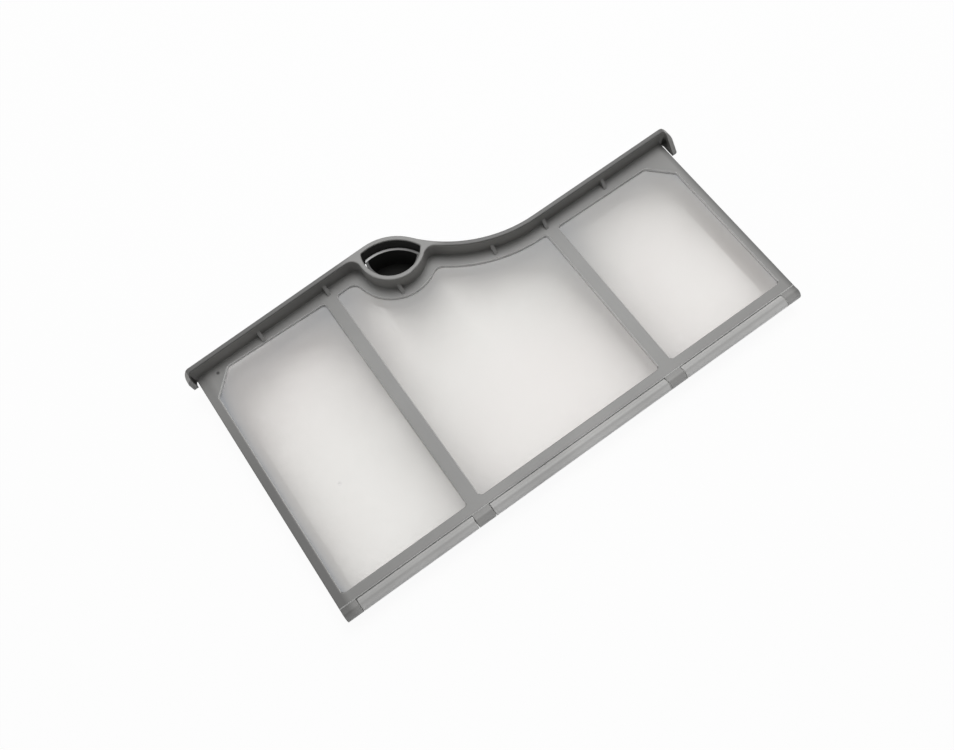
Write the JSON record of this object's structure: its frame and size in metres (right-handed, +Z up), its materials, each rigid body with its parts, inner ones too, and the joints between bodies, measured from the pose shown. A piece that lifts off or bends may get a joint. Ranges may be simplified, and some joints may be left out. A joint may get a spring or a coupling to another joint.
{
  "type": "tumble dryer lint filter",
  "caption": "Hinged clamshell lint filter with a wavy flanged top edge, a lens-shaped finger grip and fine mesh windows, for a tumble dryer's door sill.",
  "frame": {"origin": "middle of the part's box, on the plane of the rear face that it lies on", "axes": "+X across the filter, +Y from the hinge edge to the flange, +Z up out of the front face"},
  "size_m": [0.2668, 0.1436, 0.0235],
  "materials": {
    "frame_plastic": "satin moulded",
    "filter_mesh": "fine woven"
  },
  "bodies": {
    "rear_leaf": {"rear_frame": "frame_plastic", "rear_mesh": "filter_mesh"},
    "front_leaf": {"front_frame": "frame_plastic", "front_mesh": "filter_mesh"}
  },
  "joints": [
    {"name": "leaf_hinge", "type": "hinge", "parent": "rear_leaf", "child": "front_leaf", "pos_m": [0, -0.0683, 0.0098], "axis": [1, 0, 0], "range_deg": [0, 165]}
  ]
}
